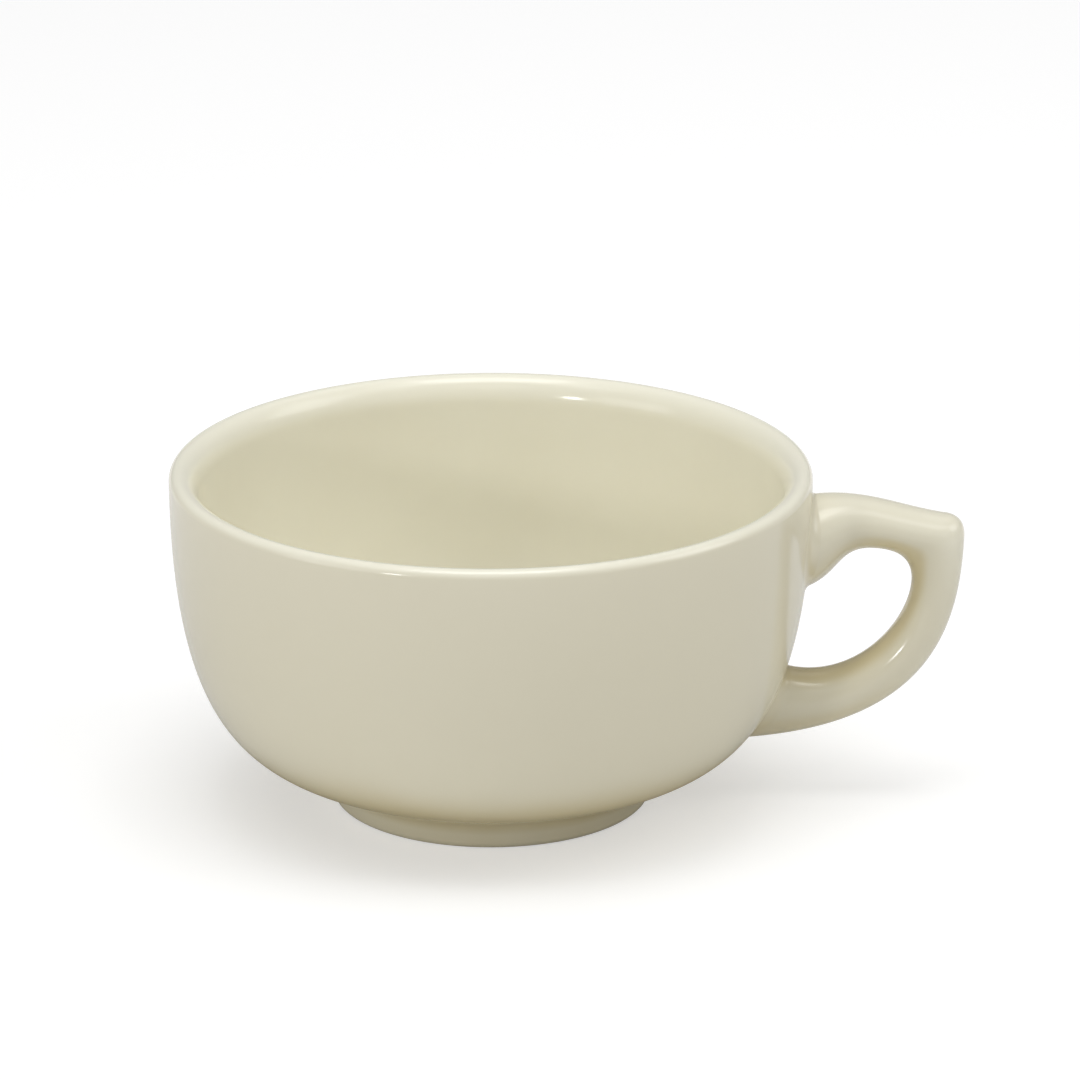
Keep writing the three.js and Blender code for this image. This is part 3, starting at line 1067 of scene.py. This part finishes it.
@dataclass
class Studio:
    """White floor, soft lamps and the camera that took the picture."""

    axis_x: float
    target_height: float = 30.71 * MM
    distance: float = 1200 * MM
    elevation: float = math.radians(19.63)
    lens: float = 224.0
    frame_right: float = 8.75 * MM
    frame_up: float = 16.19 * MM
    view_reach: float = 20.0
    floor_radius: float = 6.0
    floor_segments: int = 96
    floor_shown: str = "d0d0d0"
    floor_bounce: str = "ebebeb"
    floor_lift: float = 0.47
    shade_radius: float = 40 * MM
    open_radius: float = 300 * MM
    ambient: float = 0.32
    lamp_distance: float = 1.5
    lamps: tuple[Lamp, ...] = (
        Lamp("key", azimuth=-33, elevation=13, width=0.12, height=0.12, power=2.4),
        Lamp("left_softbox", azimuth=-60, elevation=15, width=0.8, height=0.6, power=2.5),
        Lamp("right_softbox", azimuth=85, elevation=35, width=0.8, height=0.8, power=4.0),
        Lamp("fill_softbox", azimuth=40, elevation=20, width=0.8, height=0.6, power=0.5),
        Lamp("front_softbox", azimuth=-5, elevation=43, width=0.5, height=0.4, power=0.35),
        Lamp("overhead_softbox", azimuth=0, elevation=75, width=1.8, height=0.6, power=4.4),
        Lamp("top_softbox", azimuth=0, elevation=86, width=0.8, height=0.8, power=6.7),
        Lamp("back_softbox", azimuth=180, elevation=60, width=1.2, height=0.8, power=1.5),
    )

    @property
    def target(self) -> Vector:
        """The point on the cup's axis that the camera and the lamps stand round."""
        return Vector((self.axis_x, 0, self.target_height))

    def shoot(self) -> None:
        """Places the camera so that the cup stands in the frame as in the picture."""
        back = Vector((0, -math.cos(self.elevation), math.sin(self.elevation)))
        right = Vector((1, 0, 0))
        rise = back.cross(right)
        data = bpy.data.cameras.new("camera")
        data.lens = self.lens
        data.clip_end = self.view_reach
        camera = bpy.data.objects.new("camera", data)
        camera.location = self.target + back * self.distance
        aim = self.target + right * self.frame_right + rise * self.frame_up
        camera.rotation_euler = (camera.location - aim).to_track_quat("Z", "Y").to_euler()
        bpy.context.scene.collection.objects.link(camera)
        bpy.context.scene.camera = camera

    def open_floor(self, tree: bpy.types.NodeTree) -> bpy.types.NodeSocket:
        """Adds nodes that rise from 0 under the cup, in its deepest shadow, to 1 on the open floor.

        Args:
            tree: The tree that takes the nodes.

        Returns:
            The socket with that value.
        """
        place = add_node(tree, "ShaderNodeTexCoord").outputs["Object"]
        span = add_node(tree, "ShaderNodeVectorMath", {
            0: place, 1: (self.target.x, self.target.y, 0)}, operation="DISTANCE")
        rise = add_node(tree, "ShaderNodeMapRange", {
            "Value": span.outputs["Value"], "From Min": self.shade_radius, "From Max": self.open_radius},
            interpolation_type="SMOOTHSTEP")
        return rise.outputs["Result"]

    def lay_floor(self) -> None:
        """Lays the white floor, which keeps the cup's shadow.

        A glow lifts it to white where it is seen, also in a reflection or through clear things. In these
        the glow fades out towards the cup, so that the belly and the foot show the floor's own shadow.
        """
        material = bpy.data.materials.new("white_studio_paper")
        material.use_nodes = True
        tree = material.node_tree
        tree.nodes.clear()
        rays = add_node(tree, "ShaderNodeLightPath")
        mirrored = add_node(tree, "ShaderNodeMath", {
            0: rays.outputs["Is Glossy Ray"], 1: rays.outputs["Is Transmission Ray"]},
            operation="MAXIMUM")
        shown = add_node(tree, "ShaderNodeMath", {
            0: rays.outputs["Is Camera Ray"], 1: mirrored.outputs["Value"]}, operation="MAXIMUM")
        colour = add_node(tree, "ShaderNodeMix", {
            "Factor": shown.outputs["Value"],
            "A": linear(self.floor_bounce), "B": linear(self.floor_shown)}, data_type="RGBA")
        shaded = add_node(tree, "ShaderNodeMath", {
            0: mirrored.outputs["Value"], 1: self.open_floor(tree)}, operation="MULTIPLY")
        lifted = add_node(tree, "ShaderNodeMath", {
            0: rays.outputs["Is Camera Ray"], 1: shaded.outputs["Value"]}, operation="MAXIMUM")
        lift = add_node(tree, "ShaderNodeMath", {
            0: lifted.outputs["Value"], 1: self.floor_lift}, operation="MULTIPLY")
        paper = add_node(tree, "ShaderNodeBsdfPrincipled", {
            "Base Color": colour.outputs["Result"], "Roughness": 1.0, "Specular IOR Level": 0.0,
            "Emission Color": linear(WHITE), "Emission Strength": lift.outputs["Value"]})
        add_node(tree, "ShaderNodeOutputMaterial", {"Surface": paper.outputs["BSDF"]})
        shape = bmesh.new()
        bmesh.ops.create_circle(
            shape, cap_ends=True, segments=self.floor_segments, radius=self.floor_radius)
        mesh = bpy.data.meshes.new("studio_floor")
        shape.to_mesh(mesh)
        shape.free()
        mesh.materials.append(material)
        floor = bpy.data.objects.new("studio_floor", mesh)
        bpy.context.scene.collection.objects.link(floor)

    def light_world(self) -> None:
        """Surrounds the cup with even light."""
        world = bpy.data.worlds.new("studio")
        world.use_nodes = True
        tree = world.node_tree
        tree.nodes.clear()
        glow = add_node(tree, "ShaderNodeBackground", {
            "Color": linear(WHITE), "Strength": self.ambient})
        add_node(tree, "ShaderNodeOutputWorld", {"Surface": glow.outputs["Background"]})
        bpy.context.scene.world = world

    def build(self) -> None:
        """Sets up the floor, the light and the camera."""
        self.shoot()
        self.lay_floor()
        self.light_world()
        for lamp in self.lamps:
            lamp.hang(self.target, self.lamp_distance)
        bpy.context.scene.view_settings.view_transform = "Standard"


def main() -> None:
    """Builds the cup's sub-assemblies in order, then the studio around it."""
    logging.basicConfig(level=logging.INFO, format="%(name)s: %(message)s")
    bowl_low, bowl_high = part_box(Node.BOWL.value)
    slip_low, slip_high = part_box(Node.FOOT_SLIP.value)
    foot_low, foot_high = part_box(Node.FOOT.value)
    handle_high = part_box(Node.HANDLE.value)[1]
    axis_x = (bowl_low.x + bowl_high.x) / 2
    bowl = Bowl(
        axis_x=axis_x, rim_radius=(bowl_high.x - bowl_low.x) / 2, height=bowl_high.z,
        land_radius=(slip_high.x - slip_low.x) / 2, land_height=slip_high.z)
    foot = Foot(bowl, radius=(foot_high.x - foot_low.x) / 2)
    handle = Handle(bowl)
    cream = Glaze("cream_glaze_dipped").material()
    slip = Glaze("cream_glaze_over_sponged_slip").material()
    dry = DryBody().material()
    pieces = [bowl.build(cream), *foot.build(cream, slip, dry), *handle.build(cream, slip)]
    log.info("%d pieces, handle reaches x %.4f", len(pieces), handle_high.x)
    Studio(axis_x).build()


if __name__ == "__main__":
    main()
